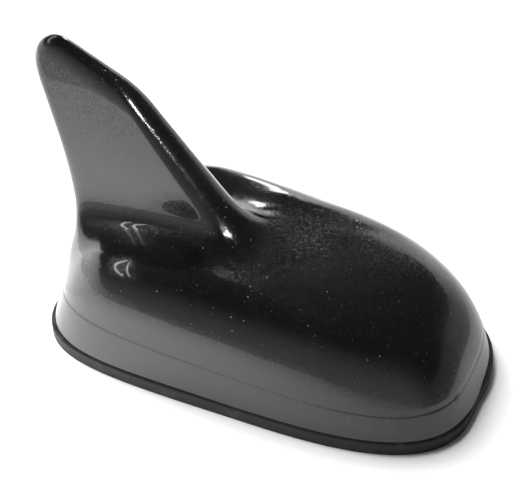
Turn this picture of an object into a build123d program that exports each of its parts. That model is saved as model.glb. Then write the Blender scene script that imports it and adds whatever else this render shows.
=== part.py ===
from build123d import *
import math
import os

# Shark fin roof aerial, in millimetres.
# The origin is the centre of the gasket's underside, on the roof. +X points to the front of the car, +Z is up.

# Plan of the base: a rounded oblong, fuller at the tail and a little narrower at the nose
BASE_LENGTH = 112.0
BASE_WIDTH = 63.7
NOSE_FULLNESS = 3.2
TAIL_FULLNESS = 4.3
NOSE_TAPER = 0.06

# Walls of the pod lean in by these angles
NOSE_DRAFT = 21.4
TAIL_DRAFT = 18.4
SIDE_DRAFT = 8.2

# Cover
COVER_SETBACK = 0.5
COVER_WALL = 2.4
RIM_WALL = 1.6
STEP_WIDTH = 0.3
STEP_HEIGHT = 12.0
STEP_SLOPE = 2.6
STEP_EDGE_RADIUS = 0.25
SHOULDER_RADIUS = 13.0

# Crown of the pod: height on the centre line and fall towards the sides, 20 mm out, at four places
CROWN_AFT_X = -20.0
CROWN_FORE_X = 20.0
CROWN_TAIL_HEIGHT = 24.0
CROWN_AFT_HEIGHT = 26.6
CROWN_FORE_HEIGHT = 29.6
CROWN_NOSE_HEIGHT = 22.0
CROWN_TAIL_FALL = 4.0
CROWN_AFT_FALL = -3.0
CROWN_FORE_FALL = 0.3
CROWN_NOSE_FALL = 0.6

# Fin: heel and toe are where its rear and front edges cross the level of the aft crown
FIN_HEEL_FROM_TAIL = 3.4
FIN_FOOT_LENGTH = 48.2
FIN_REAR_LEAN = 15.3
FIN_FRONT_SLOPE = 48.6
FIN_TOP_SLOPE = 25.6
FIN_BEND_HEIGHT = 64.9
FIN_TIP_RADIUS = 6.5
FIN_BEND_RADIUS = 26.0
FIN_ROOT_THICKNESS = 9.0
FIN_TIP_THICKNESS = 7.6
FIN_EDGE_RADIUS = 3.3
FIN_ROOT_RADIUS = 10.0
FIN_WALL = 2.0

# Gasket
GASKET_LIP_HEIGHT = 3.5
GASKET_SHEET = 2.0
GASKET_EDGE_RADIUS = 0.4
GASKET_GROOVE_DEPTH = 0.7
GASKET_GROOVE_WIDTH = 5.0
GASKET_SOLE_WIDTH = 4.0

# Base plate and its hollow stud, M18 x 1.5
PLATE_THICKNESS = 3.5
PLATE_BOSS_RADIUS = 12.5
PLATE_BOSS_CLEAR = 0.3
RIB_WIDTH = 1.4
RIB_HEIGHT = 3.0
STUD_RADIUS = 9.0
STUD_LENGTH = 20.0
STUD_BORE_RADIUS = 6.5
STUD_CHAMFER = 1.0
POST_RADIUS = 3.0
POST_HEIGHT = 4.0

# Seal under the cover's inner ledge
SEAL_THICKNESS = 1.5
SEAL_WIDTH = 1.3

# Cover screws and the bosses that take them
SCREW_FROM_END = 17.5
SCREW_FROM_SIDE = 14.9
COVER_BOSS_RADIUS = 3.6
COVER_SCREW_RADIUS = 1.5
COVER_SCREW_GRIP = 9.0
COVER_SCREW_HEAD_RADIUS = 2.8
COVER_SCREW_HEAD_HEIGHT = 1.8

# Circuit board and its screws
BOARD_THICKNESS = 1.6
BOARD_END_ROOM = 0.9
BOARD_SIDE_ROOM = 11.3
BOARD_CORNER_RADIUS = 3.0
BOARD_SCREW_INSET = 3.5
BOARD_SCREW_RADIUS = 1.0
BOARD_SCREW_GRIP = 3.4
BOARD_SCREW_HEAD_RADIUS = 1.9
BOARD_SCREW_HEAD_HEIGHT = 1.3

# Satellite patch
PATCH_SIDE = 25.0
PATCH_THICKNESS = 4.0
PATCH_CORNER = 1.5
FEED_OFFSET = 2.2
FEED_RADIUS = 0.45
FEED_HEAD_RADIUS = 1.0
FEED_HEAD_HEIGHT = 0.4
FEED_TAIL = 0.8

# Amplifier under its can, and the loose small parts
CAN_LENGTH = 16.0
CAN_WIDTH = 9.0
CAN_HEIGHT = 3.2
CAN_SHEET = 0.3
CHIP_SIDE = 3.0
CHIP_HEIGHT = 0.9
FILTER_LENGTH = 3.8
FILTER_WIDTH = 2.6
FILTER_HEIGHT = 1.2
CAPACITOR_COUNT = 6
CAPACITOR_PITCH = 3.0
CAPACITOR_LENGTH = 1.6
CAPACITOR_WIDTH = 0.8

# Radiator in the fin, its carrier and its contact
STACK_CLEARANCE = 0.3
CARRIER_MARGIN = 0.8
CARRIER_FOOT_LENGTH = 20.0
CARRIER_FROM_BOARD_END = 1.0
EAR_LENGTH = 6.5
EAR_WIDTH = 9.0
EAR_HEIGHT = 4.0
CARRIER_SCREW_RADIUS = 0.9
CARRIER_SCREW_GRIP = 3.0
CARRIER_SCREW_HEAD_RADIUS = 1.7
CARRIER_SCREW_HEAD_HEIGHT = 1.2
RADIATOR_SHEET = 0.4
RADIATOR_MARGIN = 1.2
RADIATOR_SLOT = 1.6
RADIATOR_SLOT_PITCH = 9.0
RADIATOR_SLOT_COUNT = 3
TONGUE_WIDTH = 5.0
TONGUE_CLEAR = 0.5
SPRING_STRIP = 0.25
SPRING_WIDTH = 3.0
SPRING_REACH = 4.5
SPRING_HEIGHT = 3.4

# Coaxial sockets in the stud
INSERT_FLANGE_RADIUS = 9.5
INSERT_FLANGE_HEIGHT = 1.5
INSERT_RECESS = 0.5
SOCKET_SPACING = 6.0
SHELL_RADIUS = 2.3
SHELL_WALL = 0.6
SHELL_RECESS = 0.5
MOUTH_DEPTH = 5.0
CONTACT_RADIUS = 0.5
CONTACT_STAND = 4.0

# Points that shape the plan's curve
OUTLINE_POINTS = 24

# Clearances
FIT = 0.25
SLIP = 0.05

# Levels, from the roof up
PLATE_BOTTOM = GASKET_SHEET
PLATE_TOP = PLATE_BOTTOM + PLATE_THICKNESS
LEDGE_LEVEL = PLATE_TOP + SEAL_THICKNESS
BOARD_BOTTOM = PLATE_TOP + POST_HEIGHT
BOARD_TOP = BOARD_BOTTOM + BOARD_THICKNESS
WALL_TOP = max(CROWN_TAIL_HEIGHT, CROWN_AFT_HEIGHT, CROWN_FORE_HEIGHT, CROWN_NOSE_HEIGHT) + 10.0
STUD_END = -STUD_LENGTH
OVERRUN = 5.0

# Insets of the nested outlines, from the gasket's edge
RIM_INSET = COVER_SETBACK + RIM_WALL
PLATE_INSET = RIM_INSET + FIT
UPPER_INSET = COVER_SETBACK + STEP_WIDTH
CAVITY_INSET = UPPER_INSET + COVER_WALL
RIB_INSET = CAVITY_INSET + 2 * FIT

# Places of the screws and the board
SCREW_X = BASE_LENGTH / 2 - SCREW_FROM_END
SCREW_Y = BASE_WIDTH / 2 - SCREW_FROM_SIDE
BOARD_HALF_LENGTH = SCREW_X - COVER_BOSS_RADIUS - BOARD_END_ROOM
BOARD_HALF_WIDTH = BASE_WIDTH / 2 - BOARD_SIDE_ROOM
POST_X = BOARD_HALF_LENGTH - BOARD_SCREW_INSET
POST_Y = BOARD_HALF_WIDTH - BOARD_SCREW_INSET
PATCH_X = POST_X - BOARD_SCREW_HEAD_RADIUS - 2 * FIT - PATCH_SIDE / 2
FOOT_REAR = -BOARD_HALF_LENGTH + CARRIER_FROM_BOARD_END
FOOT_FRONT = FOOT_REAR + CARRIER_FOOT_LENGTH
FOOT_MIDDLE = (FOOT_REAR + FOOT_FRONT) / 2

# Thickness of what stands in the fin: carrier blade and radiator sheet share the space between the walls
STACK = FIN_TIP_THICKNESS - 2 * FIN_WALL - 2 * STACK_CLEARANCE
BLADE = STACK - RADIATOR_SHEET
FIN_FOOT_LEVEL = PLATE_TOP + 3.0


def plan_point(turn, inset, height):
    """Point of the base's plan at a height, drawn in by an inset and by the walls' lean above the gasket's lip."""
    rise = max(0.0, height - GASKET_LIP_HEIGHT)
    nose_in = inset + rise * math.tan(math.radians(NOSE_DRAFT))
    tail_in = inset + rise * math.tan(math.radians(TAIL_DRAFT))
    side_in = inset + rise * math.tan(math.radians(SIDE_DRAFT))
    fullness = NOSE_FULLNESS if math.cos(turn) > 0 else TAIL_FULLNESS
    along = math.copysign(abs(math.cos(turn)) ** (2 / fullness), math.cos(turn))
    across = math.copysign(abs(math.sin(turn)) ** (2 / fullness), math.sin(turn))
    x = (BASE_LENGTH - nose_in - tail_in) / 2 * along + (tail_in - nose_in) / 2
    y = (BASE_WIDTH / 2 - side_in) * across * (1 - NOSE_TAPER * along)
    return Vector(x, y, height)


def closed_face(points):
    return Face(Wire([Edge.make_spline(points, periodic=True)]))


def turns():
    return [2 * math.pi * i / OUTLINE_POINTS for i in range(OUTLINE_POINTS)]


def outline(inset, height=0.0):
    """Level face of the plan at a height."""
    return closed_face([plan_point(turn, inset, height) for turn in turns()])


def step_outline(inset):
    """Face of the plan on the step's plane, which falls towards the nose."""
    fall = math.tan(math.radians(STEP_SLOPE))
    points = []
    for turn in turns():
        point = plan_point(turn, inset, STEP_HEIGHT)
        for _ in range(6):
            point = plan_point(turn, inset, STEP_HEIGHT - fall * point.X)
        points.append(Vector(point.X, point.Y, STEP_HEIGHT - fall * point.X))
    return closed_face(points)


def plan_block(inset, bottom, top, drawn_at=0.0):
    """Upright block on the plan, as drawn at one height."""
    face = Pos(0, 0, bottom - drawn_at) * outline(inset, drawn_at)
    return extrude(face, amount=top - bottom, dir=(0, 0, 1))


def plan_ring(outer_inset, inner_inset, bottom, top, drawn_at=0.0):
    """Upright ring between two insets of the plan."""
    inner = outline(inner_inset, drawn_at).outer_wire()
    face = Pos(0, 0, bottom - drawn_at) * Face(outline(outer_inset, drawn_at).outer_wire(), [inner])
    return extrude(face, amount=top - bottom, dir=(0, 0, 1))


def leaning_block(inset, bottom, top):
    """Block on the plan whose sides lean in with the pod's drafts."""
    return loft([outline(inset, bottom), outline(inset, top)], ruled=True)


def cylinder(x, y, bottom, top, radius):
    return extrude(Pos(x, y, bottom) * Circle(radius), amount=top - bottom)


def box(x_range, y_range, z_range):
    (x0, x1), (y0, y1), (z0, z1) = x_range, y_range, z_range
    return Pos((x0 + x1) / 2, (y0 + y1) / 2, (z0 + z1) / 2) * Box(x1 - x0, y1 - y0, z1 - z0)


def corners(x, y):
    return [(sx * x, sy * y) for sx in (-1, 1) for sy in (-1, 1)]


def fillet_near(body, radius, edges):
    """Fillet with the radius asked for, or the nearest one that the edges can take."""
    for share in (1.0, 0.97, 1.03, 0.94, 1.06, 0.9, 0.85, 0.8, 0.7, 0.6, 0.5, 0.35):
        try:
            rounded = body.fillet(radius * share, edges)
        except ValueError:
            continue
        if rounded.is_valid:
            return rounded
    return body


def crown_block(lowered):
    """Solid under the crown: a skin over four cross arcs, lowered by a wall for the inside."""
    end = BASE_LENGTH / 2 + OVERRUN
    stations = [
        (-end, CROWN_TAIL_HEIGHT, CROWN_TAIL_FALL),
        (CROWN_AFT_X, CROWN_AFT_HEIGHT, CROWN_AFT_FALL),
        (CROWN_FORE_X, CROWN_FORE_HEIGHT, CROWN_FORE_FALL),
        (end, CROWN_NOSE_HEIGHT, CROWN_NOSE_FALL),
    ]
    half = BASE_WIDTH / 2 + OVERRUN
    sections = []
    for x, height, fall in stations:
        top = height - lowered
        edge = top - fall * (half / 20.0) ** 2
        plane = Plane(origin=(x, 0, 0), x_dir=(0, 1, 0), z_dir=(1, 0, 0))
        arc = ThreePointArc((-half, edge), (0, top), (half, edge))
        sides = Polyline((half, edge), (half, -OVERRUN), (-half, -OVERRUN), (-half, edge))
        sections.append(plane * make_face([arc, sides]).face())
    return loft(sections)


def pod(foot, inset, lowered, shoulder):
    """Pod: walls that lean in from a foot face, cut off by the crown, with a rounded shoulder."""
    walls = loft([foot, outline(inset, WALL_TOP)], ruled=True)
    body = (walls & crown_block(lowered)).solid()
    rim = [e for e in body.edges() if e.length > BASE_WIDTH and e.bounding_box().min.Z > STEP_HEIGHT]
    rim = [max(rim, key=lambda e: e.bounding_box().max.Z)]
    return fillet_near(body, shoulder, rim)


def slide_line(point, angle, inset):
    """A line as point and direction, moved to its right by an inset."""
    direction = (math.cos(math.radians(angle)), math.sin(math.radians(angle)))
    return (point[0] + inset * direction[1], point[1] - inset * direction[0]), direction


def meet(first, second):
    (px, pz), (ax, az) = first
    (qx, qz), (bx, bz) = second
    along = ((qx - px) * bz - (qz - pz) * bx) / (ax * bz - az * bx)
    return (px + along * ax, pz + along * az)


def at_level(line, z):
    (px, pz), (ax, az) = line
    return px + (z - pz) * ax / az


FIN_HEEL = (-BASE_LENGTH / 2 + FIN_HEEL_FROM_TAIL, CROWN_AFT_HEIGHT)
FIN_TOE = (FIN_HEEL[0] + FIN_FOOT_LENGTH, CROWN_AFT_HEIGHT)
FIN_BEND_RUN = (FIN_BEND_HEIGHT - CROWN_AFT_HEIGHT) / math.tan(math.radians(FIN_FRONT_SLOPE))
FIN_BEND = (FIN_TOE[0] - FIN_BEND_RUN, FIN_BEND_HEIGHT)


def fin_lines(inset):
    """Rear, top and front edges of the fin, drawn in by an inset, clockwise from the heel."""
    rear = slide_line(FIN_HEEL, 90 + FIN_REAR_LEAN, inset)
    top = slide_line(FIN_BEND, -FIN_TOP_SLOPE, inset)
    front = slide_line(FIN_BEND, -FIN_FRONT_SLOPE, inset)
    return rear, top, front


def corner_radius(before, corner, after, radius, share):
    """Radius that fits a corner when its fillet may use a share of both sides."""
    to_before = Vector(before[0] - corner[0], before[1] - corner[1])
    to_after = Vector(after[0] - corner[0], after[1] - corner[1])
    half_angle = math.radians(to_before.get_angle(to_after)) / 2
    return min(radius, share * min(to_before.length, to_after.length) * math.tan(half_angle))


def fin_profile(inset, foot):
    """Side view of the fin, in the XZ plane, down to a foot level."""
    rear, top, front = fin_lines(inset)
    heel = (at_level(rear, foot), foot)
    tip = meet(rear, top)
    bend = meet(top, front)
    toe = (at_level(front, foot), foot)
    tip_radius = corner_radius(heel, tip, bend, max(FIN_TIP_RADIUS - inset, 0.8), 0.7)
    bend_radius = corner_radius(tip, bend, toe, FIN_BEND_RADIUS - inset, 0.28)
    edge = FilletPolyline(heel, tip, bend, toe, radius=[tip_radius, bend_radius])
    return Plane.XZ * make_face([edge, Line(toe, heel)]).face()


def fin(inset, wall):
    """Fin body with drafted flanks, drawn in by an inset at its edges and by a wall at its flanks."""
    reach = BASE_WIDTH / 2
    tall = FIN_BEND_HEIGHT * 1.5
    narrowing = (FIN_ROOT_THICKNESS - FIN_TIP_THICKNESS) / 2 / (FIN_BEND_HEIGHT - CROWN_AFT_HEIGHT)
    slab = extrude(fin_profile(inset, FIN_FOOT_LEVEL), amount=reach, both=True)
    low = FIN_ROOT_THICKNESS / 2 - wall + narrowing * CROWN_AFT_HEIGHT
    high = FIN_TIP_THICKNESS / 2 - wall - narrowing * (tall - FIN_BEND_HEIGHT)
    section = Polyline((-low, 0), (low, 0), (high, tall), (-high, tall), close=True)
    flanks = extrude(Plane.YZ * make_face(section).face(), amount=BASE_LENGTH, both=True)
    return (slab & flanks).solid()


def root_edges(body, pod_body, fin_body):
    """Edges where the fin meets the pod: those near the middle that lie on both solids."""
    near = [e for e in body.edges() if abs(e.center().Y) < FIN_ROOT_THICKNESS and e.center().Z > STEP_HEIGHT]
    found = []
    for edge in near:
        place = Vertex(*(edge @ 0.5))
        if pod_body.distance_to(place) < 1e-3 and fin_body.distance_to(place) < 1e-3:
            found.append(edge)
    return found


def rounded_fin():
    body = fin(0.0, 0.0)
    radius = min(FIN_EDGE_RADIUS, 0.46 * min(FIN_TIP_THICKNESS, FIN_ROOT_THICKNESS))
    flank = 0.3 * min(FIN_TIP_THICKNESS, FIN_ROOT_THICKNESS)
    rims = [e for e in body.edges() if abs(e.center().Y) > flank and e.bounding_box().max.Z > FIN_FOOT_LEVEL + 1]
    rims = [e for e in rims if e.bounding_box().size.X > 1e-3 or e.bounding_box().size.Z > 1e-3]
    return fillet_near(body, radius, rims)


def skirt():
    """Lower band of the cover, up to the step, with its upper edge rounded."""
    band = loft([outline(COVER_SETBACK, GASKET_LIP_HEIGHT), step_outline(COVER_SETBACK)], ruled=True).solid()
    edge = max(band.edges(), key=lambda e: e.center().Z if e.length > BASE_WIDTH else 0)
    return fillet_near(band, STEP_EDGE_RADIUS, [edge])


def cover_outside():
    """Whole outer form of the cover as one solid: stepped skirt, pod and fin with a rounded root."""
    body = (pod(step_outline(UPPER_INSET), UPPER_INSET, 0.0, SHOULDER_RADIUS) + skirt()).solid()
    blade = rounded_fin()
    joined = (body + blade).solid()
    return fillet_near(joined, FIN_ROOT_RADIUS, root_edges(joined, body, blade))


def fin_cover():
    outside = cover_outside()
    room = pod(outline(CAVITY_INSET, LEDGE_LEVEL), CAVITY_INSET, COVER_WALL, SHOULDER_RADIUS - COVER_WALL)
    recess = leaning_block(RIM_INSET, GASKET_LIP_HEIGHT, LEDGE_LEVEL)
    for x, y in corners(SCREW_X, SCREW_Y):
        boss = cylinder(x, y, PLATE_TOP, WALL_TOP, COVER_BOSS_RADIUS)
        room = room - boss
        recess = recess - boss
    shell = outside - room - fin(FIN_WALL, FIN_WALL) - recess
    hole_top = PLATE_TOP + COVER_SCREW_GRIP + 1.0
    for x, y in corners(SCREW_X, SCREW_Y):
        shell = shell - cylinder(x, y, PLATE_TOP, hole_top, COVER_SCREW_RADIUS + SLIP)
    return shell.solid()


def roof_gasket():
    sheet = plan_block(0.0, 0.0, GASKET_LIP_HEIGHT)
    sheet = sheet - plan_block(RIM_INSET, GASKET_SHEET, GASKET_LIP_HEIGHT)
    rim = [e for e in sheet.edges() if e.bounding_box().min.Z > GASKET_LIP_HEIGHT - 1e-3]
    sheet = fillet_near(sheet.solid(), GASKET_EDGE_RADIUS, [max(rim, key=lambda e: e.length)])
    groove_inner = GASKET_SOLE_WIDTH + GASKET_GROOVE_WIDTH
    sheet = sheet - plan_ring(GASKET_SOLE_WIDTH, groove_inner, 0.0, GASKET_GROOVE_DEPTH)
    return sheet - cylinder(0, 0, 0.0, GASKET_SHEET, PLATE_BOSS_RADIUS + FIT)


def base_plate():
    plate = plan_block(PLATE_INSET, PLATE_BOTTOM, PLATE_TOP, LEDGE_LEVEL)
    rib_top = PLATE_TOP + RIB_HEIGHT
    rib = plan_ring(RIB_INSET, RIB_INSET + RIB_WIDTH, PLATE_TOP, rib_top, rib_top)
    for x, y in corners(SCREW_X, SCREW_Y):
        rib = rib - cylinder(x, y, PLATE_TOP, rib_top, COVER_BOSS_RADIUS + FIT)
    plate = plate + rib
    plate = plate + cylinder(0, 0, PLATE_BOSS_CLEAR, PLATE_BOTTOM, PLATE_BOSS_RADIUS)
    stud = cylinder(0, 0, STUD_END, PLATE_BOTTOM, STUD_RADIUS)
    stud = chamfer(stud.edges().group_by(Axis.Z)[0], STUD_CHAMFER)
    plate = plate + stud
    for x, y in corners(POST_X, POST_Y):
        plate = plate + cylinder(x, y, PLATE_TOP, BOARD_BOTTOM, POST_RADIUS)
        plate = plate - cylinder(x, y, BOARD_BOTTOM - BOARD_SCREW_GRIP - 0.3, BOARD_BOTTOM, BOARD_SCREW_RADIUS + SLIP)
    for x, y in corners(SCREW_X, SCREW_Y):
        plate = plate - cylinder(x, y, PLATE_BOTTOM, PLATE_TOP, COVER_SCREW_RADIUS + FIT)
        head_top = PLATE_BOTTOM + COVER_SCREW_HEAD_HEIGHT
        plate = plate - cylinder(x, y, PLATE_BOTTOM, head_top, COVER_SCREW_HEAD_RADIUS + FIT)
    return plate - cylinder(0, 0, STUD_END, PLATE_TOP, STUD_BORE_RADIUS)


def cover_seal():
    return plan_ring(PLATE_INSET, PLATE_INSET + SEAL_WIDTH, PLATE_TOP, LEDGE_LEVEL, LEDGE_LEVEL)


def screw(x, y, seat, grip, radius, head_radius, head_height, upward):
    """Plain screw: a head against its seat and a shank that grips beyond it, with a cross recess in the head."""
    way = 1 if upward else -1
    shank = cylinder(x, y, min(seat, seat + way * grip), max(seat, seat + way * grip), radius)
    outer = seat - way * head_height
    head = cylinder(x, y, min(seat, outer), max(seat, outer), head_radius)
    depth = 0.5 * head_height
    slot = (min(outer, outer + way * depth), max(outer, outer + way * depth))
    arm, half = 0.6 * head_radius, 0.14 * head_radius
    head = head - box((x - arm, x + arm), (y - half, y + half), slot)
    head = head - box((x - half, x + half), (y - arm, y + arm), slot)
    return (shank + head).solid()


def cover_screws():
    seat = PLATE_BOTTOM + COVER_SCREW_HEAD_HEIGHT
    grip = PLATE_TOP - seat + COVER_SCREW_GRIP
    return [screw(x, y, seat, grip, COVER_SCREW_RADIUS, COVER_SCREW_HEAD_RADIUS, COVER_SCREW_HEAD_HEIGHT, True)
            for x, y in corners(SCREW_X, SCREW_Y)]


def board_screws():
    grip = BOARD_THICKNESS + BOARD_SCREW_GRIP
    return [screw(x, y, BOARD_TOP, grip, BOARD_SCREW_RADIUS, BOARD_SCREW_HEAD_RADIUS, BOARD_SCREW_HEAD_HEIGHT, False)
            for x, y in corners(POST_X, POST_Y)]


def ear_places():
    return [(FOOT_REAR + EAR_LENGTH / 2, 0.0), (FOOT_FRONT - EAR_LENGTH / 2, 0.0)]


def carrier_screws():
    grip = BOARD_THICKNESS + CARRIER_SCREW_GRIP
    return [screw(x, y, BOARD_BOTTOM, grip, CARRIER_SCREW_RADIUS, CARRIER_SCREW_HEAD_RADIUS,
                  CARRIER_SCREW_HEAD_HEIGHT, True) for x, y in ear_places()]


def socket_places():
    return {"phone": (0.0, -SOCKET_SPACING / 2), "gps": (0.0, SOCKET_SPACING / 2)}


def circuit_board():
    plan = RectangleRounded(2 * BOARD_HALF_LENGTH, 2 * BOARD_HALF_WIDTH, BOARD_CORNER_RADIUS)
    board = extrude(Pos(0, 0, BOARD_BOTTOM) * plan, amount=BOARD_THICKNESS)
    holes = [(place, BOARD_SCREW_RADIUS) for place in corners(POST_X, POST_Y)]
    holes += [(place, CARRIER_SCREW_RADIUS) for place in ear_places()]
    holes += [(place, CONTACT_RADIUS) for place in socket_places().values()]
    holes.append(((PATCH_X, FEED_OFFSET), FEED_RADIUS))
    for (x, y), radius in holes:
        board = board - cylinder(x, y, BOARD_BOTTOM, BOARD_TOP, radius + SLIP)
    return board


def gps_patch():
    plan = chamfer(Rectangle(PATCH_SIDE, PATCH_SIDE).vertices(), PATCH_CORNER)
    patch = extrude(Pos(PATCH_X, 0, BOARD_TOP) * plan, amount=PATCH_THICKNESS)
    return patch - cylinder(PATCH_X, FEED_OFFSET, BOARD_TOP, BOARD_TOP + PATCH_THICKNESS, FEED_RADIUS + SLIP)


def gps_feed_pin():
    top = BOARD_TOP + PATCH_THICKNESS
    pin = cylinder(PATCH_X, FEED_OFFSET, BOARD_BOTTOM - FEED_TAIL, top, FEED_RADIUS)
    return (pin + cylinder(PATCH_X, FEED_OFFSET, top, top + FEED_HEAD_HEIGHT, FEED_HEAD_RADIUS)).solid()


def can_place():
    """Centre of the shield can, beside the carrier's foot on the car's left and clear of the rear board screw."""
    rear = -POST_X + BOARD_SCREW_HEAD_RADIUS + 2 * FIT
    return rear + CAN_LENGTH / 2, (EAR_WIDTH / 2 + BOARD_HALF_WIDTH) / 2


def shield_can():
    x, y = can_place()
    outer = Pos(x, y, BOARD_TOP + CAN_HEIGHT / 2) * Box(CAN_LENGTH, CAN_WIDTH, CAN_HEIGHT)
    outer = fillet(outer.edges().filter_by(Axis.Z), 3 * CAN_SHEET)
    inner_top = BOARD_TOP + CAN_HEIGHT - CAN_SHEET
    half_length, half_width = CAN_LENGTH / 2 - CAN_SHEET, CAN_WIDTH / 2 - CAN_SHEET
    inner = box((x - half_length, x + half_length), (y - half_width, y + half_width), (BOARD_TOP, inner_top))
    return outer - fillet(inner.edges().filter_by(Axis.Z), 2 * CAN_SHEET)


def on_board(x, y, length, width, height):
    return box((x - length / 2, x + length / 2), (y - width / 2, y + width / 2), (BOARD_TOP, BOARD_TOP + height))


def amplifier_chip():
    x, y = can_place()
    return on_board(x - CAN_LENGTH / 4, y, CHIP_SIDE, CHIP_SIDE, CHIP_HEIGHT)


def band_filter():
    x, y = can_place()
    return on_board(x + CAN_LENGTH / 4, y, FILTER_LENGTH, FILTER_WIDTH, FILTER_HEIGHT)


def chip_capacitors():
    x, y = can_place()
    first = x - CAPACITOR_PITCH * (CAPACITOR_COUNT - 1) / 2
    return [on_board(first + i * CAPACITOR_PITCH, -y, CAPACITOR_LENGTH, CAPACITOR_WIDTH, CAPACITOR_WIDTH)
            for i in range(CAPACITOR_COUNT)]


def blade_face():
    """Side view of the carrier: a leg up from the board that spreads into the fin's own outline."""
    inset = FIN_WALL + CARRIER_MARGIN
    rear, top, front = fin_lines(inset)
    level = CROWN_AFT_HEIGHT
    ear_top = BOARD_TOP + EAR_HEIGHT
    leg = Polyline((FOOT_REAR, BOARD_TOP), (FOOT_REAR, ear_top), (at_level(rear, level), level),
                   (at_level(front, level), level), (FOOT_FRONT, ear_top), (FOOT_FRONT, BOARD_TOP), close=True)
    return Plane.XZ * make_face(leg).face() + fin_profile(inset, level)


def radiator_carrier():
    blade = extrude(blade_face(), amount=BLADE, dir=(0, 1, 0))
    blade = Pos(0, STACK / 2 - BLADE, 0) * blade
    for x, y in ear_places():
        ear = on_board(x, y, EAR_LENGTH, EAR_WIDTH, EAR_HEIGHT)
        blade = blade + ear
        blade = blade - cylinder(x, y, BOARD_TOP, BOARD_TOP + CARRIER_SCREW_GRIP + 0.3, CARRIER_SCREW_RADIUS + SLIP)
    return blade


def radiator_slots(inset, level):
    """Slots that enter from the two edges in turn and pass the middle, so that the sheet is one long path."""
    rear, top, front = fin_lines(inset)
    slots = []
    for i in range(RADIATOR_SLOT_COUNT):
        z = level + (i + 1) * RADIATOR_SLOT_PITCH
        back, fore = at_level(rear, z), at_level(front, z)
        depth = 0.65 * (fore - back)
        ends = (back - OVERRUN, back + depth) if i % 2 else (fore - depth, fore + OVERRUN)
        slots.append(box(ends, (-STACK, STACK), (z - RADIATOR_SLOT / 2, z + RADIATOR_SLOT / 2)))
    return slots


def phone_radiator():
    inset = FIN_WALL + CARRIER_MARGIN + RADIATOR_MARGIN
    level = CROWN_AFT_HEIGHT
    sheet = extrude(fin_profile(inset, level), amount=RADIATOR_SHEET, dir=(0, 1, 0))
    sheet = Pos(0, -STACK / 2, 0) * sheet
    for slot in radiator_slots(inset, level):
        sheet = sheet - slot
    tongue_x = (FOOT_MIDDLE - TONGUE_WIDTH / 2, FOOT_MIDDLE + TONGUE_WIDTH / 2)
    tongue_y = (-STACK / 2, -STACK / 2 + RADIATOR_SHEET)
    return (sheet + box(tongue_x, tongue_y, (BOARD_TOP + TONGUE_CLEAR, level + 1.0))).solid()


def contact_spring():
    face = -STACK / 2
    half = SPRING_WIDTH / 2
    span = (FOOT_MIDDLE - half, FOOT_MIDDLE + half)
    base = box(span, (face - SPRING_REACH, face), (BOARD_TOP, BOARD_TOP + SPRING_STRIP))
    riser = box(span, (face - SPRING_STRIP, face), (BOARD_TOP, BOARD_TOP + SPRING_HEIGHT))
    return (base + riser).solid()


def socket_insert():
    body = cylinder(0, 0, STUD_END + INSERT_RECESS, PLATE_TOP, STUD_BORE_RADIUS - SLIP)
    body = body + cylinder(0, 0, PLATE_TOP, PLATE_TOP + INSERT_FLANGE_HEIGHT, INSERT_FLANGE_RADIUS)
    for x, y in socket_places().values():
        body = body - cylinder(x, y, STUD_END, PLATE_TOP + INSERT_FLANGE_HEIGHT, SHELL_RADIUS + SLIP)
    return body


def socket_shell(x, y):
    bottom = STUD_END + SHELL_RECESS
    tube = cylinder(x, y, bottom, BOARD_BOTTOM, SHELL_RADIUS)
    return tube - cylinder(x, y, bottom, BOARD_BOTTOM, SHELL_RADIUS - SHELL_WALL)


def socket_insulator(x, y):
    bottom = STUD_END + SHELL_RECESS + MOUTH_DEPTH
    core = cylinder(x, y, bottom, BOARD_BOTTOM, SHELL_RADIUS - SHELL_WALL - SLIP)
    return core - cylinder(x, y, bottom, BOARD_BOTTOM, CONTACT_RADIUS + SLIP)


def socket_contact(x, y):
    bottom = STUD_END + SHELL_RECESS + MOUTH_DEPTH - CONTACT_STAND
    return cylinder(x, y, bottom, BOARD_TOP, CONTACT_RADIUS)


nodes = {
    "fin_cover": fin_cover(),
    "roof_gasket": roof_gasket(),
    "base_plate": base_plate(),
    "cover_seal": cover_seal(),
    "cover_screws": cover_screws(),
    "circuit_board": circuit_board(),
    "board_screws": board_screws(),
    "gps_patch": gps_patch(),
    "gps_feed_pin": gps_feed_pin(),
    "shield_can": shield_can(),
    "amplifier_chip": amplifier_chip(),
    "band_filter": band_filter(),
    "chip_capacitors": chip_capacitors(),
    "radiator_carrier": radiator_carrier(),
    "phone_radiator": phone_radiator(),
    "carrier_screws": carrier_screws(),
    "contact_spring": contact_spring(),
    "socket_insert": socket_insert(),
}
for name, (x, y) in socket_places().items():
    nodes[f"{name}_socket_shell"] = socket_shell(x, y)
    nodes[f"{name}_socket_insulator"] = socket_insulator(x, y)
    nodes[f"{name}_socket_contact"] = socket_contact(x, y)

os.makedirs("parts", exist_ok=True)
for name, shape in nodes.items():
    solids = shape if isinstance(shape, list) else shape.solids()
    whole = solids[0] if len(solids) == 1 else Compound(children=list(solids))
    export_step(whole, f"parts/{name}.step")
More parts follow.
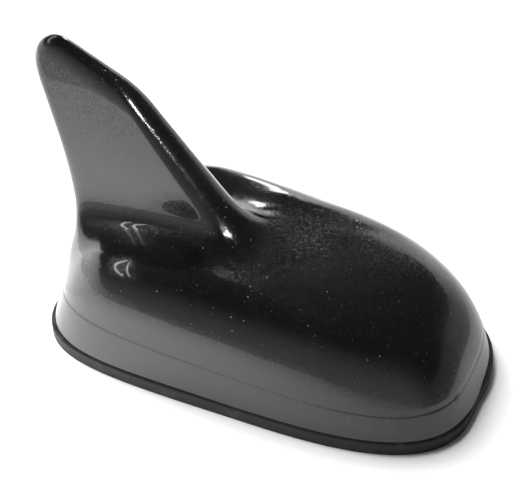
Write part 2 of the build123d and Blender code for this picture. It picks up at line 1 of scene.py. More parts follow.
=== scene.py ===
import bpy
import math
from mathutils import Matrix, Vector


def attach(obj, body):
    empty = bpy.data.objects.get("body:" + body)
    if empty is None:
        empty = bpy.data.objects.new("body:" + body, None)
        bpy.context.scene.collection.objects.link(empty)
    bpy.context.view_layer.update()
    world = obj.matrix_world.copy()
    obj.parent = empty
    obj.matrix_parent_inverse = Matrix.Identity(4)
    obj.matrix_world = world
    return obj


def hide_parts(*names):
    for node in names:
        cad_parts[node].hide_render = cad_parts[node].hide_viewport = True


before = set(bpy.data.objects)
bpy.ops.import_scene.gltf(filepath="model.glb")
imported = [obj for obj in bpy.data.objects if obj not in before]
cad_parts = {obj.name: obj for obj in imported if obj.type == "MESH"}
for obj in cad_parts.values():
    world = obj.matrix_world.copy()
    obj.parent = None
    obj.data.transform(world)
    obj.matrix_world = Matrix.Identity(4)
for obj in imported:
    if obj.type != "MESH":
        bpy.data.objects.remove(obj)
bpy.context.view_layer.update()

MM = 0.001

# Camera of the photograph
IMAGE_WIDTH = 523
CAMERA_AZIMUTH = 25.0
CAMERA_ELEVATION = 40.0
CAMERA_DISTANCE = 270 * MM
CAMERA_FOCUS_PIXELS = 1061
CAMERA_TARGET = Vector((-6.4, 6.2, 22.0)) * MM

# White table in metres, which ends a little in front of the part and to its right
TABLE_LEFT = -0.55
TABLE_RIGHT = 0.13
TABLE_FRONT = -0.125
TABLE_BACK = 0.5
TABLE_WHITE = 0.88

# Painted shade on the table: all rays but the camera's see it darker to the right and in front, standing in
# for light that falls off there: places in millimetres, least share
DIM_FROM_X = -50
DIM_TO_X = 80
PAINTED_SHADE_RIGHT = 0.46
DIM_FROM_Y = -55
DIM_TO_Y = -100
PAINTED_SHADE_FRONT = 0.84

# Room above its bright walls, and the dusk that lights it in front of the part up to a height in degrees
ROOM_DARK = 0.045
ROOM_DUSK = 0.36
DUSK_HEIGHT = 60
WALL_BLUR = 2.5

# Walls of the room round the part: bearing from +X and height of the bright part in degrees, brightness
ROOM = [
    (-180, 23, 1.25),
    (-160, 15, 1.2),
    (-138, 6, 1.0),
    (-118, 2, 0.5),
    (-75, 1, 0.34),
    (-45, 1, 0.2),
    (-12, 10, 0.16),
    (40, 15, 0.18),
    (58, 14, 0.35),
    (80, 26, 0.9),
    (92, 34, 1.2),
    (107, 34, 1.2),
    (113, 15, 1.1),
    (140, 15, 1.2),
    (180, 23, 1.25),
]

# Paint: cells in a metre and lean of the flakes, colour of flakes and dust, scuffs in millimetres
FLAKE_CELLS = 3600
FLAKE_LEAN = 0.1
PEARL = (0.62, 0.64, 0.68, 1)
SCUFFS = [(52.2, -8.5, 12.6), (51.6, -11.5, 9.6)]
SCUFF_RADIUS = 1.3

THREAD_PITCH = 1.5

# Cover in millimetres: plan of the base
HALF_LENGTH = 56.0
HALF_WIDTH = 31.85
NOSE_FULLNESS = 3.2
TAIL_FULLNESS = 4.3
NOSE_TAPER = 0.06
NOSE_LEAN = 21.4
TAIL_LEAN = 18.4
SIDE_LEAN = 8.2
LIP = 3.5
SETBACK = 0.5
STEP_LEVEL = 12.0
STEP_FALL = 2.6
STEP_DEPTH = 0.11

# Crown of the cover at places along it: place, height on the middle line, height at the shoulder
CROWN = [
    (-56, 22.0, 22.0),
    (-48, 23.4, 25.5),
    (-40, 25.8, 30.2),
    (-30, 28.0, 32.2),
    (-20, 29.2, 32.3),
    (-10, 29.8, 31.3),
    (0, 29.7, 30.3),
    (20, 29.2, 27.8),
    (35, 26.8, 24.8),
    (46, 23.0, 21.4),
    (56, 19.0, 18.0),
]
CROWN_HALF = 24.0
SHOULDER = 12.0
ROOT_ROUND = 10.0

# Fin of the cover in side view
HEEL_X = -52.6
TOE_X = -4.4
FOOT_LEVEL = 26.6
ROOT_REAR_LEVEL = 29.0
ROOT_FRONT_LEVEL = 33.5
REAR_LEAN = 15.3
LOW_REAR_LEAN = 8.0
KNEE_LEVEL = 42.0
FRONT_SLOPE = 48.6
TOP_SLOPE = 25.6
BEND = Vector((-38.17, 64.9))
TIP_ROUND = 6.5
BEND_ROUND = 26.0
FOOT_HALF = 6.6
TOP_HALF = 3.5
REAR_EDGE = 3.4
FRONT_EDGE = 4.4
TOP_EDGE = 3.4
FULL_EDGE = 0.85

# Quads of the cover's cage on half a turn: round the nose, along the side, round the tail
NOSE_COUNT = 12
SIDE_COUNT = 20
TAIL_COUNT = 8
HALF_COUNT = NOSE_COUNT + SIDE_COUNT + TAIL_COUNT
SIDE_FRONT_X = 12.0
SIDE_REAR_X = -43.0
FLARE_RIB = 30
FLARE_RIBS = 6
FLARE_BOW = 0.58
FLARE_LIFT = 0.42
COVER_WALL = 2.0
PLAN_STEPS = 4000
WALL_ROW = 8.0
CROWN_START = 24.0
REAR_LEVELS = (ROOT_REAR_LEVEL, 32.0, 35.0, 38.0, 40.0, 44.0, 48.0, 54.0)
FRONT_LEVELS = (ROOT_FRONT_LEVEL, 44.0, 54.0)
RING_SHARES = (0.0, 0.08, 0.2, 0.36, 0.54, 0.7, 0.84, 0.93, 1.0)
CAP_ANGLES = (25, 48, 68, 82, 90)
SHOULDER_ANGLES = (0, 18, 36, 54, 72, 90)

# Box in millimetres, where the fin meets the pod, in which the cage is evened out
EVEN_REAR = -56
EVEN_FRONT = -8
EVEN_HALF = 20
EVEN_LOW = 22
EVEN_HIGH = 38
EVEN_ROUNDS = 8


class Value:
    """A socket that takes part in arithmetic: each operator adds one Math node."""

    def __init__(self, shade, socket):
        self.shade = shade
        self.socket = socket

    def __add__(self, other):
        return self.shade.math("ADD", self, other)

    def __radd__(self, other):
        return self.shade.math("ADD", other, self)

    def __sub__(self, other):
        return self.shade.math("SUBTRACT", self, other)

    def __rsub__(self, other):
        return self.shade.math("SUBTRACT", other, self)

    def __mul__(self, other):
        return self.shade.math("MULTIPLY", self, other)

    def __rmul__(self, other):
        return self.shade.math("MULTIPLY", other, self)

    def __truediv__(self, other):
        return self.shade.math("DIVIDE", self, other)

    def __rtruediv__(self, other):
        return self.shade.math("DIVIDE", other, self)

    def __pow__(self, other):
        return self.shade.math("POWER", self, other)

    def above(self, level):
        return self.shade.math("GREATER_THAN", self, level)

    def below(self, level):
        return self.shade.math("LESS_THAN", self, level)

    def size(self):
        return self.shade.math("ABSOLUTE", self)

    def ramp(self, low, high, to_low=0.0, to_high=1.0):
        """Smooth change from to_low to to_high while the value goes from low to high."""
        settings = {"interpolation_type": "SMOOTHSTEP"}
        inputs = {"Value": self, "From Min": low, "From Max": high, "To Min": to_low, "To Max": to_high}
        return self.shade.node("ShaderNodeMapRange", settings, inputs, "Result")


class Shade:
    """Node tree of one material or of the room."""

    def __init__(self, owner):
        owner.use_nodes = True
        self.owner = owner
        self.tree = owner.node_tree
        self.tree.nodes.clear()

    def node(self, kind, settings=None, inputs=None, output=0):
        """Adds any node, sets its settings, joins or fills its inputs and hands on one output."""
        made = self.tree.nodes.new(kind)
        for name, setting in (settings or {}).items():
            setattr(made, name, setting)
        for name, given in (inputs or {}).items():
            if isinstance(given, Value):
                self.tree.links.new(given.socket, made.inputs[name])
            else:
                made.inputs[name].default_value = given
        return Value(self, made.outputs[output]) if len(made.outputs) else None

    def math(self, operation, *terms):
        return self.node("ShaderNodeMath", {"operation": operation}, dict(enumerate(terms)))

    def vector_math(self, operation, *terms):
        return self.node("ShaderNodeVectorMath", {"operation": operation}, dict(enumerate(terms)))

    def mix(self, share, first, second):
        """Colour between two colours."""
        return self.node("ShaderNodeMix", {"data_type": "RGBA"}, {0: share, 6: first, 7: second}, 2)

    def place(self, scale=(1, 1, 1), turn=(0, 0, 0)):
        """Object coordinates in metres, turned and scaled."""
        place = self.node("ShaderNodeTexCoord", output="Object")
        turned = tuple(math.radians(angle) for angle in turn)
        return self.node("ShaderNodeMapping", {}, {"Vector": place, "Scale": scale, "Rotation": turned})

    def axis(self, name):
        """One object coordinate in millimetres."""
        return self.node("ShaderNodeSeparateXYZ", {}, {"Vector": self.place()}, name) * 1000

    def facing_up(self):
        normal = self.node("ShaderNodeNewGeometry", output="Normal")
        return self.node("ShaderNodeSeparateXYZ", {}, {"Vector": normal}, "Z")

    def noise(self, scale, detail=2.0, rough=0.5, vector=None):
        inputs = {"Vector": vector or self.place(), "Scale": scale, "Detail": detail, "Roughness": rough}
        return self.node("ShaderNodeTexNoise", {}, inputs, "Fac")

    def cells(self, scale, output, vector=None, feature="F1"):
        inputs = {"Vector": vector or self.place(), "Scale": scale}
        return self.node("ShaderNodeTexVoronoi", {"feature": feature}, inputs, output)

    def channel(self, colour, name="Red"):
        return self.node("ShaderNodeSeparateColor", {}, {"Color": colour}, name)

    def specks(self, scale, radius, share):
        """Round specks of mixed size and strength: one in some of the cells of a random cell pattern."""
        lot = self.cells(scale, "Color")
        reach = self.cells(scale, "Distance")
        kept = self.channel(lot, "Red").below(share)
        strength = self.channel(lot, "Green") ** 2.0 * 0.9 + 0.1
        extent = self.channel(lot, "Blue") * (0.7 * radius) + 0.3 * radius
        dot = (reach / extent).ramp(0.6, 1.0, 1.0, 0.0)
        return kept * strength * dot

    def near(self, points, radius):
        """One within a radius in mm of any of the points, fading to nothing at its edge."""
        total = None
        for point in points:
            spot = tuple(value * MM for value in point)
            inputs = {0: self.place(), 1: spot}
            reach = self.node("ShaderNodeVectorMath", {"operation": "DISTANCE"}, inputs, "Value")
            share = (reach * 1000).ramp(0.4 * radius, radius, 1.0, 0.0)
            total = share if total is None else total + share
        return total

    def bump(self, height, strength, distance):
        inputs = {"Height": height, "Strength": strength, "Distance": distance}
        return self.node("ShaderNodeBump", {}, inputs)

    def finish(self, **inputs):
        """Ends the material in one Principled shader. Names use underscores for spaces."""
        named = {name.replace("_", " "): given for name, given in inputs.items()}
        shader = self.node("ShaderNodeBsdfPrincipled", {}, named)
        self.node("ShaderNodeOutputMaterial", {}, {"Surface": shader})
        return self.owner


def new_shade(name):
    return Shade(bpy.data.materials.new(name))


def grey(level):
    return (level, level, level, 1)


def pearl_black_paint():
    """Black paint with fine pearl flakes under a clear coat, with dust, fine scratches and two scuffs."""
    shade = new_shade("pearl_black_paint")
    flake = shade.cells(FLAKE_CELLS, "Color")
    lean = shade.vector_math("SUBTRACT", flake, (0.5, 0.5, 0.5))
    normal = shade.node("ShaderNodeNewGeometry", output="Normal")
    lean = shade.vector_math("MULTIPLY", lean, (FLAKE_LEAN, FLAKE_LEAN, FLAKE_LEAN))
    tilted = shade.vector_math("NORMALIZE", shade.vector_math("ADD", normal, lean))

    patchy = shade.noise(55, 3).ramp(0.35, 0.65, 0.25, 1.0)
    upward = shade.facing_up().ramp(0.2, 0.9, 0.35, 1.0)
    dust = shade.specks(900, 0.22, 0.4) * 0.5 + shade.specks(320, 0.09, 0.2) * 0.6
    dust = dust * patchy * upward

    wander = shade.noise(9, 2, 0.5, shade.place((6, 70, 40), (0, 0, 24)))
    line = (wander - 0.5).size().ramp(0.0, 0.006, 1.0, 0.0)
    where = shade.noise(38, 2).ramp(0.56, 0.68)
    scratch = line * where

    haze = shade.noise(40, 4, 0.6).ramp(0.4, 0.75)
    scuff = shade.near(SCUFFS, SCUFF_RADIUS)
    grain = shade.channel(shade.cells(2300, "Color"), "Red") ** 4.0 * 0.006
    pale = (dust + scratch * 0.1 + haze * 0.004 + grain) * (1 - scuff)
    base = shade.mix(pale, grey(0.002), PEARL)
    rough = haze * 0.04 + 0.2
    coat = 1 - scuff * 0.8 - dust * 0.5
    return shade.finish(Base_Color=base, Roughness=rough, IOR=1.6, Specular_Tint=(0.95, 0.97, 1, 1),
                        Coat_Weight=coat, Coat_Roughness=0.03, Coat_IOR=1.48, Normal=tilted)


def black_rubber(name, dusty):
    shade = new_shade(name)
    dust = shade.noise(240, 4).ramp(0.5, 0.8) * dusty
    fleck = shade.specks(700, 0.16, 0.25) * dusty
    base = shade.mix(dust * 0.25 + fleck * 0.6, grey(0.018), grey(0.16))
    grain = shade.noise(1700, 2)
    return shade.finish(Base_Color=base, Roughness=0.55, Normal=shade.bump(grain, 0.25, 0.0002))


def cast_metal():
    """Die-cast metal with a turned thread on the stud below the roof."""
    shade = new_shade("cast_metal")
    cloud = shade.noise(90, 3)
    base = shade.mix(cloud, grey(0.42), grey(0.6))
    thread = shade.axis("Z") / THREAD_PITCH
    ridge = (shade.math("FRACT", thread) - 0.5).size() * shade.axis("Z").ramp(-2.0, -0.5, 1.0, 0.0)
    grain = shade.noise(1500, 2) * 0.12
    return shade.finish(Base_Color=base, Metallic=1.0, Roughness=cloud * 0.2 + 0.35,
                        Normal=shade.bump(ridge + grain, 0.6, 0.0008))


def bare_metal(name, dark, light, rough):
    shade = new_shade(name)
    cloud = shade.noise(220, 3)
    grain = shade.noise(1600, 2, 0.5, shade.place((1, 6, 6)))
    base = shade.mix(cloud, dark, light)
    return shade.finish(Base_Color=base, Metallic=1.0, Roughness=cloud * 0.15 + rough,
                        Normal=shade.bump(grain, 0.08, 0.0002))


def plain_plastic(name, dark, light, rough):
    shade = new_shade(name)
    cloud = shade.noise(140, 3)
    grain = shade.noise(1400, 2)
    return shade.finish(Base_Color=shade.mix(cloud, dark, light), Roughness=cloud * 0.1 + rough,
                        Normal=shade.bump(grain, 0.12, 0.0002))


def green_board():
    """Green lacquered board with thin copper tracks under the lacquer."""
    shade = new_shade("green_board")
    step = shade.cells(260, "Distance", shade.place((1, 1, 0.01)), "DISTANCE_TO_EDGE")
    track = step.ramp(0.03, 0.06, 1.0, 0.0)
    base = shade.mix(track, (0.006, 0.07, 0.028, 1), (0.02, 0.16, 0.06, 1))
    return shade.finish(Base_Color=base, Roughness=0.32, Coat_Weight=0.4,
                        Normal=shade.bump(track, 0.3, 0.0001))


def patch_ceramic():
    """Ceramic block with a silver patch on its upper face."""
    shade = new_shade("patch_ceramic")
    silver = shade.facing_up().above(0.9)
    cloud = shade.noise(200, 3)
    base = shade.mix(silver, shade.mix(cloud, (0.5, 0.42, 0.3, 1), (0.6, 0.52, 0.4, 1)), grey(0.72))
    return shade.finish(Base_Color=base, Metallic=silver, Roughness=cloud * 0.15 + 0.35)


def tangent(angle):
    return math.tan(math.radians(angle))


def bearing_vector(angle):
    return Vector((math.cos(math.radians(angle)), math.sin(math.radians(angle))))


def plan_place(turn, inset, level):
    """Point of the plan at a level, drawn in by an inset and by the lean of the walls."""
    rise = max(0.0, level - LIP)
    nose_in = inset + rise * tangent(NOSE_LEAN)
    tail_in = inset + rise * tangent(TAIL_LEAN)
    side_in = inset + rise * tangent(SIDE_LEAN)
    full = NOSE_FULLNESS if math.cos(turn) > 0 else TAIL_FULLNESS
    along = math.copysign(abs(math.cos(turn)) ** (2 / full), math.cos(turn))
    across = abs(math.sin(turn)) ** (2 / full)
    x = (2 * HALF_LENGTH - nose_in - tail_in) / 2 * along + (tail_in - nose_in) / 2
    y = (HALF_WIDTH - side_in) * across * (1 - NOSE_TAPER * along)
    return Vector((x, y, level))


def plan_turns():
    """Turns of half the cage's ribs, evenly spaced round the nose, along the side and round the tail."""
    fine = [math.pi * step / PLAN_STEPS for step in range(PLAN_STEPS + 1)]
    places = [plan_place(turn, SETBACK, LIP) for turn in fine]
    run = [0.0]
    for before, after in zip(places, places[1:]):
        run.append(run[-1] + (after - before).length)
    front = next(i for i, place in enumerate(places) if place.x <= SIDE_FRONT_X)
    rear = next(i for i, place in enumerate(places) if place.x <= SIDE_REAR_X)
    turns = []
    runs = ((0, front, NOSE_COUNT), (front, rear, SIDE_COUNT), (rear, PLAN_STEPS, TAIL_COUNT))
    for first, last, count in runs:
        for step in range(count):
            wanted = run[first] + (run[last] - run[first]) * step / count
            turns.append(fine[next(i for i in range(first, last + 1) if run[i] >= wanted)])
    return turns + [math.pi]


def crown_height(place):
    """Height of the crown over a place: hollow beside the fin, domed in front of it."""
    x = min(max(place.x, CROWN[0][0]), CROWN[-1][0])
    for before, after in zip(CROWN, CROWN[1:]):
        if x <= after[0]:
            break
    share = (x - before[0]) / (after[0] - before[0])
    middle = before[1] + (after[1] - before[1]) * share
    edge = before[2] + (after[2] - before[2]) * share
    return middle + (edge - middle) * min(1.0, (place.y / CROWN_HALF) ** 2)


def rear_place(level):
    """Rear edge of the fin at a level, more upright below the knee."""
    knee = HEEL_X - (KNEE_LEVEL - FOOT_LEVEL) * tangent(REAR_LEAN)
    lean = REAR_LEAN if level > KNEE_LEVEL else LOW_REAR_LEAN
    return Vector((knee - (level - KNEE_LEVEL) * tangent(lean), level))


def front_place(level):
    return Vector((TOE_X - (level - FOOT_LEVEL) / tangent(FRONT_SLOPE), level))


def arc_places(centre, radius, start, end, count):
    angles = [start + (end - start) * step / count for step in range(count + 1)]
    return [centre + radius * bearing_vector(angle) for angle in angles]


def fin_paths():
    """Rear and front edges of the fin in side view, from the root up to both ends of its top edge."""
    rear_up = bearing_vector(90 + REAR_LEAN)
    top_up = bearing_vector(180 - TOP_SLOPE)
    knee = rear_place(KNEE_LEVEL)
    gap = BEND - knee
    reach = (gap.x * top_up.y - gap.y * top_up.x) / (rear_up.x * top_up.y - rear_up.y * top_up.x)
    corner = knee + rear_up * reach
    start = corner - rear_up * (TIP_ROUND / math.tan(rear_up.angle(top_up) / 2))
    tip_centre = start + TIP_ROUND * bearing_vector(REAR_LEAN)
    rear = [rear_place(level) for level in REAR_LEVELS]
    rear += arc_places(tip_centre, TIP_ROUND, 180 + REAR_LEAN, 90 - TOP_SLOPE, 24)
    low = BEND + bearing_vector(-FRONT_SLOPE) * BEND_ROUND * tangent((FRONT_SLOPE - TOP_SLOPE) / 2)
    bend_centre = low - BEND_ROUND * bearing_vector(90 - FRONT_SLOPE)
    front = [front_place(level) for level in FRONT_LEVELS]
    front += arc_places(bend_centre, BEND_ROUND, 90 - FRONT_SLOPE, 90 - TOP_SLOPE, 12)
    return rear, front


def path_length(path):
    return sum((after - before).length for before, after in zip(path, path[1:]))


def path_place(path, run):
    """Point at a run along a path."""
    for before, after in zip(path, path[1:]):
        length = (after - before).length
        if run <= length:
            return before.lerp(after, run / length)
        run -= length
    return path[-1]


def fin_runs(rear, front):
    """Runs along the rear and front edges, and share of the full thickness, for each ring of the fin."""
    rear_full, front_full = path_length(rear), path_length(front)
    turn = math.radians(FRONT_SLOPE - TOP_SLOPE)
    bend_drop = BEND_ROUND * (1 - math.cos(turn))

    def under_top(drop):
        back = TIP_ROUND * math.acos(1 - drop / TIP_ROUND)
        if drop <= bend_drop:
            return rear_full - back, front_full - BEND_ROUND * math.acos(1 - drop / BEND_ROUND)
        return rear_full - back, front_full - BEND_ROUND * turn - (drop - bend_drop) / math.sin(turn)

    rear_cap, front_cap = under_top(TOP_EDGE)
    runs = [(rear_cap * share, front_cap * share, 1.0) for share in RING_SHARES]
    for angle in CAP_ANGLES:
        lift = math.radians(angle)
        runs.append((*under_top(TOP_EDGE * (1 - math.sin(lift))), max(0.0, math.cos(lift)) ** FULL_EDGE))
    return runs


def fin_place(rib, rear, front, share):
    """Point of one rib on a ring of the fin, from the ring's ends on the rear and front edges."""
    chord = front - rear
    length = chord.length
    half = math.pi / 2
    if rib <= NOSE_COUNT:
        turn = half * rib / NOSE_COUNT
        along = length - FRONT_EDGE + FRONT_EDGE * max(0.0, math.cos(turn)) ** FULL_EDGE
        out = math.sin(turn) ** FULL_EDGE
    elif rib <= NOSE_COUNT + SIDE_COUNT:
        along = length - FRONT_EDGE - (length - FRONT_EDGE - REAR_EDGE) * (rib - NOSE_COUNT) / SIDE_COUNT
        out = 1.0
    else:
        turn = half * (rib - NOSE_COUNT - SIDE_COUNT) / TAIL_COUNT
        along = REAR_EDGE - REAR_EDGE * math.sin(turn) ** FULL_EDGE
        out = max(0.0, math.cos(turn)) ** FULL_EDGE
    spot = rear + chord * (along / length)
    thick = FOOT_HALF + (TOP_HALF - FOOT_HALF) * (spot.y - FOOT_LEVEL) / (BEND.y - FOOT_LEVEL)
    return Vector((spot.x, thick * out * share, spot.y))


def parabola(first, middle, last, share):
    return first * (1 - share) ** 2 + middle * (2 * share * (1 - share)) + last * share ** 2


def step_level(x):
    return STEP_LEVEL - x * tangent(STEP_FALL)


def rib_places(rib, turn, rings):
    """Points of one rib of the cage: up the wall from the lip, over shoulder and crown, and up the fin."""
    step = step_level(plan_place(turn, SETBACK, STEP_LEVEL).x)
    deep = SETBACK + STEP_DEPTH
    levels = (LIP, LIP + 0.4, WALL_ROW, step - 0.9, step - 0.3)
    places = [plan_place(turn, SETBACK, level) for level in levels]
    places.append(plan_place(turn, SETBACK + 0.3 * STEP_DEPTH, step))
    places.append(plan_place(turn, deep, step + 0.25))
    places.append(plan_place(turn, deep, step + 0.8))

    foot = fin_place(rib, *rings[0])
    rise = (fin_place(rib, *rings[1]) - foot).normalized()
    corner = foot.copy()
    for _ in range(8):
        corner = foot - rise * ((foot.z - crown_height(corner)) / rise.z)
    edge = plan_place(turn, deep, crown_height(plan_place(turn, deep, CROWN_START)))
    edge.z = crown_height(edge)
    start_level = max(step + 1.6, edge.z - SHOULDER)
    start = plan_place(turn, deep, start_level)
    upright = min(1.0, max(0.0, (rib - FLARE_RIB) / FLARE_RIBS))
    upright = upright * upright * (3 - 2 * upright)
    across = corner - edge
    across.z = 0
    span = across.length
    inner = edge + across * (min(SHOULDER, 0.5 * span) / span)
    root = corner - across * (min(ROOT_ROUND, 0.42 * span) / span)
    for place in (inner, root):
        place.z = crown_height(place)

    places.append(plan_place(turn, deep, (step + 0.8 + start_level) / 2 + 0.2))
    over = []
    for angle in SHOULDER_ANGLES:
        lift = math.radians(angle)
        over.append(edge + (start - edge) * (1 - math.sin(lift)) + (inner - edge) * (1 - math.cos(lift)))
    for share in (0.35, 0.7):
        place = inner.lerp(root, share)
        place.z = crown_height(place)
        over.append(place)
    over += [parabola(root, corner, foot, share) for share in (0.0, 0.25, 0.5, 0.75)]
    bow = start.lerp(foot, FLARE_BOW)
    bow.z = start.z + FLARE_LIFT * (foot.z - start.z)
    for row, place in enumerate(over):
        places.append(place.lerp(parabola(start, bow, foot, row / len(over)), upright))
    for ring in rings:
        places.append(fin_place(rib, *ring))
    return places


def smooth_cover():
    """Cover as one smooth skin: a grid with ribs round the part as columns and rows that rise up the fin."""
    rear, front = fin_paths()
    runs = fin_runs(rear, front)
    rings = [(path_place(rear, back), path_place(front, fore), share) for back, fore, share in runs]
    ribs = [rib_places(rib, turn, rings) for rib, turn in enumerate(plan_turns())]
    columns = 2 * HALF_COUNT
    rows = len(ribs[0]) - 1
    bpy.ops.object.select_all(action="DESELECT")
    bpy.ops.mesh.primitive_grid_add(x_subdivisions=columns, y_subdivisions=rows, size=2)
    cover = bpy.context.active_object
    cover.name = "cover_skin"
    for vertex in cover.data.vertices:
        column = round((vertex.co.x + 1) / 2 * columns)
        row = round((vertex.co.y + 1) / 2 * rows)
        place = ribs[min(column, columns - column)][row].copy()
        if column > HALF_COUNT:
            place.y = -place.y
        vertex.co = place * MM
    bpy.ops.object.mode_set(mode="EDIT")
    bpy.ops.mesh.select_all(action="SELECT")
    bpy.ops.mesh.remove_doubles(threshold=0.000005)
    bpy.ops.mesh.normals_make_consistent(inside=False)
    bpy.ops.mesh.select_all(action="DESELECT")
    bpy.ops.object.mode_set(mode="OBJECT")
    for vertex in cover.data.vertices:
        x, y, z = vertex.co / MM
        vertex.select = EVEN_REAR < x < EVEN_FRONT and abs(y) < EVEN_HALF and EVEN_LOW < z < EVEN_HIGH
    bpy.ops.object.mode_set(mode="EDIT")
    bpy.ops.mesh.vertices_smooth(factor=0.5, repeat=EVEN_ROUNDS)
    bpy.ops.object.mode_set(mode="OBJECT")
    finer = cover.modifiers.new("finer", "SUBSURF")
    finer.levels = finer.render_levels = 2
    bpy.ops.object.modifier_apply(modifier="finer")
    wall = cover.modifiers.new("wall", "SOLIDIFY")
    wall.thickness = COVER_WALL * MM
    wall.offset = -1
    bpy.ops.object.modifier_apply(modifier="wall")
    bpy.ops.object.shade_smooth_by_angle(angle=math.radians(50))
    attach(cover, "root")
    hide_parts("fin_cover")
    return cover


def dress(node, material):
    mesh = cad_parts[node].data
    mesh.materials.clear()
    mesh.materials.append(material)


def dress_all():
    paint = pearl_black_paint()
    dress("fin_cover", paint)
    smooth_cover().data.materials.append(paint)
    dress("roof_gasket", black_rubber("gasket_rubber", 1.0))
    dress("cover_seal", black_rubber("seal_rubber", 0.3))
    dress("base_plate", cast_metal())
    steel = bare_metal("zinc_steel", grey(0.5), grey(0.66), 0.28)
    for node in ("cover_screws", "board_screws", "carrier_screws"):
        dress(node, steel)
    tin = bare_metal("tin_plate", grey(0.62), grey(0.76), 0.3)
    for node in ("shield_can", "gps_feed_pin"):
        dress(node, tin)
    dress("circuit_board", green_board())
    dress("gps_patch", patch_ceramic())
    dress("amplifier_chip", plain_plastic("chip_black", grey(0.012), grey(0.02), 0.5))
    dress("band_filter", plain_plastic("filter_ceramic", (0.62, 0.58, 0.5, 1), (0.72, 0.68, 0.6, 1), 0.4))
    dress("chip_capacitors", plain_plastic("capacitor_tan", (0.3, 0.2, 0.11, 1), (0.38, 0.26, 0.15, 1), 0.45))
    dress("radiator_carrier", plain_plastic("carrier_plastic", grey(0.55), grey(0.62), 0.5))
    dress("phone_radiator", bare_metal("radiator_brass", (0.6, 0.43, 0.2, 1), (0.72, 0.54, 0.28, 1), 0.3))
    dress("contact_spring", bare_metal("spring_bronze", (0.62, 0.38, 0.2, 1), (0.74, 0.48, 0.27, 1), 0.25))
    dress("socket_insert", plain_plastic("insert_plastic", grey(0.02), grey(0.03), 0.5))
    shell = bare_metal("shell_nickel", grey(0.55), grey(0.68), 0.22)
    insulator = plain_plastic("insulator_white", grey(0.74), grey(0.8), 0.4)
    contact = bare_metal("contact_gold", (0.78, 0.53, 0.2, 1), (0.86, 0.62, 0.28, 1), 0.2)
    for line in ("phone", "gps"):
        dress(line + "_socket_shell", shell)
        dress(line + "_socket_insulator", insulator)
        dress(line + "_socket_contact", contact)


def room():
    """Dark room with bright walls of varying height, which the gloss sees, and white for the camera."""
    world = bpy.data.worlds.new("room")
    bpy.context.scene.world = world
    shade = Shade(world)
    direction = shade.node("ShaderNodeTexCoord", output="Generated")
    parts = [shade.node("ShaderNodeSeparateXYZ", {}, {"Vector": direction}, name) for name in ("X", "Y", "Z")]
    bearing = shade.math("ARCTAN2", parts[1], parts[0]) / (2 * math.pi) + 0.5
    height = shade.math("ARCSINE", parts[2]) * (180 / math.pi)
    found = shade.node("ShaderNodeValToRGB", {}, {"Fac": bearing}, "Color")
    stops = found.socket.node.color_ramp.elements
    while len(stops) < len(ROOM):
        stops.new(1.0)
    for stop, (angle, top, level) in zip(stops, ROOM):
        stop.position = (angle + 180) / 360
        stop.color = (top / 40, level / 2, 0, 1)
    top = shade.channel(found, "Red") * 40
    level = shade.channel(found, "Green") * 2
    wall = (height - top).ramp(-WALL_BLUR, WALL_BLUR, 1.0, 0.0) * level
    front = (0 - parts[1]).ramp(-0.1, 0.6)
    dusk = height.ramp(0, DUSK_HEIGHT, ROOM_DUSK, ROOM_DARK) * front + (1 - front) * ROOM_DARK
    seen = shade.math("MAXIMUM", wall, dusk)
    camera = shade.node("ShaderNodeLightPath", output="Is Camera Ray")
    strength = seen * (1 - camera) + camera
    background = shade.node("ShaderNodeBackground", {}, {"Color": (1, 1, 1, 1), "Strength": strength})
    shade.node("ShaderNodeOutputWorld", {}, {"Surface": background})


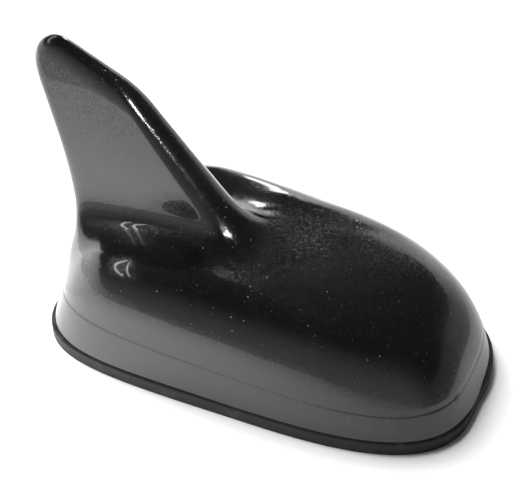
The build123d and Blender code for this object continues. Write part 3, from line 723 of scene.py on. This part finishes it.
def table_top():
    bpy.ops.object.select_all(action="DESELECT")
    bpy.ops.mesh.primitive_plane_add(size=1.0)
    table = bpy.context.active_object
    table.name = "table_top"
    table.scale = (TABLE_RIGHT - TABLE_LEFT, TABLE_BACK - TABLE_FRONT, 1)
    table.location = ((TABLE_RIGHT + TABLE_LEFT) / 2, (TABLE_BACK + TABLE_FRONT) / 2, 0)
    bpy.ops.object.transform_apply(location=True, rotation=True, scale=True)
    shade = new_shade("table_white")
    camera = shade.node("ShaderNodeLightPath", output="Is Camera Ray")
    # Painted shade: for all rays but the camera's, the table's colour darkens to the right and in front
    across = shade.axis("X").ramp(DIM_FROM_X, DIM_TO_X, 1.0, PAINTED_SHADE_RIGHT)
    deep = shade.axis("Y").ramp(DIM_TO_Y, DIM_FROM_Y, PAINTED_SHADE_FRONT, 1.0)
    share = across * deep * (1 - camera) + camera
    colour = shade.mix(share, grey(0.0), grey(TABLE_WHITE))
    table.data.materials.append(shade.finish(Base_Color=colour, Roughness=0.9, Specular_IOR_Level=0.1))


def direction(bearing, height):
    turn, rise = math.radians(bearing), math.radians(height)
    return Vector((math.cos(turn) * math.cos(rise), math.sin(turn) * math.cos(rise), math.sin(rise)))


def lamp(name, bearing, height, reach, size, watts, in_gloss, aim=(-10, 0, 25), spread=180):
    """Flat lamp that looks at a point of the part from a bearing and height in degrees."""
    light = bpy.data.lights.new(name, "AREA")
    light.energy = watts
    light.shape = "RECTANGLE"
    light.size, light.size_y = size
    light.spread = math.radians(spread)
    made = bpy.data.objects.new(name, light)
    bpy.context.scene.collection.objects.link(made)
    toward = direction(bearing, height)
    made.location = toward * reach + Vector(aim) * MM
    made.rotation_euler = toward.to_track_quat("Z", "Y").to_euler()
    made.visible_glossy = in_gloss


def studio_camera():
    back = direction(CAMERA_AZIMUTH - 90, CAMERA_ELEVATION)
    data = bpy.data.cameras.new("camera")
    data.sensor_width = 36.0
    data.lens = CAMERA_FOCUS_PIXELS * data.sensor_width / IMAGE_WIDTH
    data.clip_start = 0.01
    camera = bpy.data.objects.new("camera", data)
    bpy.context.scene.collection.objects.link(camera)
    camera.location = CAMERA_TARGET + back * CAMERA_DISTANCE
    camera.rotation_euler = back.to_track_quat("Z", "Y").to_euler()
    bpy.context.scene.camera = camera


bpy.context.scene.view_settings.view_transform = "Standard"
studio_camera()
room()
table_top()
lamp("soft_box", 165, 55, 0.8, (0.7, 0.7), 17, False)
lamp("tube_upper", 178, 50, 0.5, (0.6, 0.008), 0.12, True)
lamp("tube_lower", 178, 46.5, 0.5, (0.6, 0.008), 0.12, True)
lamp("ridge_lamp", -3, 44, 0.13, (0.015, 0.03), 0.006, True, aim=(-30, -2, 56), spread=40)
lamp("window", 109, 27, 0.6, (0.06, 0.12), 0.2, True)
dress_all()
